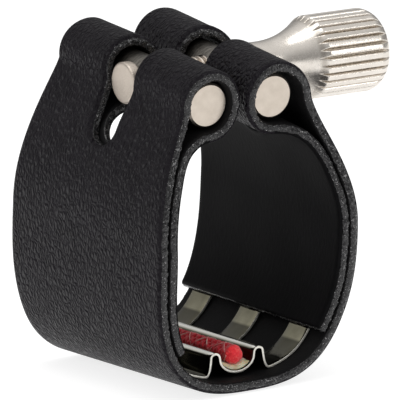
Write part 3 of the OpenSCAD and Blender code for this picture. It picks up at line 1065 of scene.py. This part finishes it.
def strand_tree():
    """Yarn strands wound round a straight cord along Y, half of them each way, passing over and under."""
    sizes = ("Length", "Radius", "Yarn", "Pitch")
    tree, given = new_tree("strands", {"Front": "Vector", "Strands": "Int", **dict.fromkeys(sizes, "Float")})
    both = tree.nodes.new("GeometryNodeJoinGeometry")
    for way in (1, -1):
        line = node(tree, "GeometryNodeCurvePrimitiveLine", {"End": (0, 1, 0)}).outputs[0]
        fine = node(tree, "GeometryNodeResampleCurve", {"Curve": line, "Count": 160}).outputs[0]
        share = node(tree, "GeometryNodeSplineParameter").outputs["Factor"]
        along = times(tree, share, given["Length"])
        turns = mathed(tree, "DIVIDE", along, given["Pitch"])
        angle = times(tree, turns, way * 2 * pi)
        crossings = times(tree, times(tree, turns, 2 * pi), given["Strands"])
        over = times(tree, mathed(tree, "SINE", crossings), given["Yarn"])
        radius = plus(tree, given["Radius"], times(tree, over, 0.33 * way))
        place = combined(tree, times(tree, radius, mathed(tree, "COSINE", angle)), along,
                         times(tree, radius, mathed(tree, "SINE", angle)))
        wound = node(tree, "GeometryNodeSetPosition", {"Geometry": fine, "Position": place}).outputs[0]
        tube = tube_along(tree, wound, given["Yarn"], 8)
        spots = node(tree, "GeometryNodeMeshLine",
                     {"Count": given["Strands"], "Offset": (0, 0, 0)}).outputs[0]
        index = node(tree, "GeometryNodeInputIndex").outputs[0]
        spin = times(tree, mathed(tree, "DIVIDE", index, given["Strands"]), 2 * pi)
        placed_tubes = node(tree, "GeometryNodeInstanceOnPoints", {
            "Points": spots, "Instance": tube, "Rotation": combined(tree, 0.0, spin, 0.0)})
        tree.links.new(placed_tubes.outputs[0], both.inputs[0])
    moved = node(tree, "GeometryNodeTransform", {"Geometry": both.outputs[0], "Translation": given["Front"]})
    return end_tree(tree, moved.outputs[0], given["Material"])


def make_strands(name, finish, radius, thick, pitch, count):
    """Strands wound both ways round the cord: sizes in millimetres, count of them each way."""
    piece = new_piece(name, [], [], [finish], outward=False)
    run_tree(piece, strand_tree(), finish, {"Strands": count},
             {"Front": (0, CORD_FRONT, CORD_Z + CREST_Z), "Length": CORD_LENGTH, "Radius": radius,
              "Yarn": thick, "Pitch": pitch})
    piece.data.shade_smooth()
    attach(piece, "base")
    return piece


def make_cord(finish):
    piece = make_strands("resonator_braid", finish, 0.80, 0.30, 5.5, 5)
    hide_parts("resonator_cord")


def make_filaments(finish):
    piece = make_strands("resonator_filaments", finish, 1.10, 0.075, 7.3, 2)


def make_core(finish):
    """The cut yarn ends: a lumpy core that stands a little proud of the braid in front."""
    rng = np.random.default_rng(4)
    rings = [(0.1 - 0.62 * cos(a), 1.16 * sin(a)) for a in np.linspace(0, pi / 2, 10)]
    rings += [(0.3, 1.14), (0.6, 1.02), (0.9, 0.9)]
    rings += [(y, 0.86) for y in np.linspace(1.5, CORD_LENGTH, 24)]
    rings.append((CORD_LENGTH, 0.0))
    around = 40
    points = []
    for y, r in rings:
        for q in range(around):
            a = 2 * pi * q / around
            spot = Vector((cos(a) * r * 2.4, y * 2.4, sin(a) * r * 2.4))
            lump = noise.noise(spot) * 0.09
            frayed = rng.uniform(-0.02, 0.03) if y < 0.2 else 0
            out = r + lump * (r > 0.2) + frayed * (r > 0.2)
            points.append((out * cos(a), CORD_FRONT + y - lump * (y < 0), CORD_Z + out * sin(a)))
    faces = ring_faces(len(rings), around)
    piece = new_piece("resonator_core", placed(points), faces, [finish], outward=False)
    work = bmesh.new()
    work.from_mesh(piece.data)
    bmesh.ops.remove_doubles(work, verts=work.verts, dist=1e-6)
    bmesh.ops.recalc_face_normals(work, faces=work.faces)
    work.to_mesh(piece.data)
    work.free()
    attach(piece, "base")


def make_glue(finish):
    """Set adhesive under the cord, run up against the rails, a little proud in front."""
    lift = SHEET / 2 + 0.05
    stations = np.linspace(PLATE_FRONT + 0.2, CORD_REAR + 0.2, 90)
    points = []
    n = 15
    for y in stations:
        wobble = noise.noise(Vector((y * 1.1, 3.0, 0.0)))
        end = min(1.0, (y - stations[0]) / 0.5 + 0.25)
        for q in range(n):
            x, floor = valley_place(-62 + 118 * q / (n - 1) + 6 * wobble, lift)
            points.append((x, y, floor))
        for q in range(n):
            x, floor = valley_place(56 - 118 * q / (n - 1) + 6 * wobble, lift)
            lump = noise.noise(Vector((x * 1.6, y * 1.3, 7.0))) * 0.12
            fill_z = (0.62 + lump) * end * cos(radians(90 * abs(2 * q / (n - 1) - 1) ** 3))
            points.append((x * 0.99, y, floor + max(fill_z, 0.03)))
    width = 2 * n
    faces = ring_faces(len(stations), width)
    faces.append(tuple(range(width)))
    faces.append(tuple((len(stations) - 1) * width + q for q in range(width)))
    piece = new_piece("cord_glue", placed(points), faces, [finish])
    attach(piece, "base")
    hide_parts("cord_adhesive")


# ---- camera, light and floor

def make_camera():
    yaw, rise, roll = radians(33.348), radians(11.182), radians(-1.546)
    target = Vector((-6.083, -12.2, 6.002)) * MM
    ahead = Vector((sin(yaw) * cos(rise), cos(yaw) * cos(rise), -sin(rise)))
    side = Vector((cos(yaw), -sin(yaw), 0))
    up = side.cross(ahead)
    right = cos(roll) * side + sin(roll) * up
    top = -sin(roll) * side + cos(roll) * up
    data = bpy.data.cameras.new("studio_camera")
    data.sensor_width = 36
    data.lens = 544.2
    data.clip_start = 0.01
    data.clip_end = 20
    camera = linked("studio_camera", data)
    camera.matrix_world = Matrix((right, top, -ahead)).transposed().to_4x4()
    camera.location = target - ahead * 0.7
    bpy.context.scene.camera = camera


def soft_light(name, place, aim, size, power, tone=(1, 1, 1)):
    data = bpy.data.lights.new(name, "AREA")
    data.shape = "RECTANGLE"
    data.size, data.size_y = size
    data.energy = power
    data.color = tone
    lamp = linked(name, data)
    lamp.location = place
    lamp.rotation_euler = (Vector(aim) - Vector(place)).to_track_quat("-Z", "Y").to_euler()


def make_room():
    world = bpy.data.worlds.new("studio")
    bpy.context.scene.world = world
    world.use_nodes = True
    tree = world.node_tree
    sky = tree.nodes["Background"]
    place = node(tree, "ShaderNodeTexCoord").outputs["Generated"]
    height = node(tree, "ShaderNodeSeparateXYZ", {0: place}).outputs[2]
    shade = between(tree, level(tree, height, -0.2, 0.8, 0.0, 1.0),
                    [(at, (grey,) * 3) for at, grey in ((0.0, 0.5), (0.3, 0.28), (0.6, 0.4), (1.0, 0.8))])
    tree.links.new(shade, sky.inputs["Color"])
    sky.inputs["Strength"].default_value = 1.0
    soft_light("top_box", (-0.05, 0.0, 0.5), (0, 0, 0), (0.26, 0.26), 0.50)
    soft_light("left_box", (-0.5, -0.15, 0.25), (0, 0, 0), (0.08, 0.22), 0.30)
    soft_light("right_box", (0.3, -0.45, 0.2), (0, 0, 0), (0.08, 0.22), 0.30)
    scene = bpy.context.scene
    scene.view_settings.view_transform = "Standard"
    floor_z = -17.62 * MM
    made, tree = material("pale_floor")
    fill(tree, tree.nodes["Principled BSDF"], {
        "Base Color": (0.45, 0.45, 0.45, 1), "Roughness": 0.9, "Specular IOR Level": 0.1,
        "Emission Color": (1, 1, 1, 1), "Emission Strength": 0.8})
    reach = 4.0
    floor = new_piece("floor", [(-reach, -reach, floor_z), (reach, -reach, floor_z), (reach, reach, floor_z),
                                (-reach, reach, floor_z)], [(0, 1, 2, 3)], [made], outward=False)


# ---- the whole

make_camera()
make_room()

finishes = [grained_leather(), plain_leather(), edge_paint(), shaded_flap_leather()]

left_band = make_band(-1, "band_left", finishes)
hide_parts("strap_base", "strap_left_flank", "strap_left_lining")
right_band = make_band(1, "band_right", finishes)
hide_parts("strap_base", "strap_right_flank", "strap_right_lining")

make_stud(stud_nickel())
make_knob(knob_nickel())
make_plate(sheet_metal(), cut_metal())
make_cord(red_yarn())
make_core(cut_yarn())
make_filaments(pale_fibre())
make_glue(set_glue())
barrel_finish = turned_nickel()
for name in ("left_barrel", "right_barrel"):
    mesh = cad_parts[name].data
    mesh.materials.clear()
    mesh.materials.append(barrel_finish)
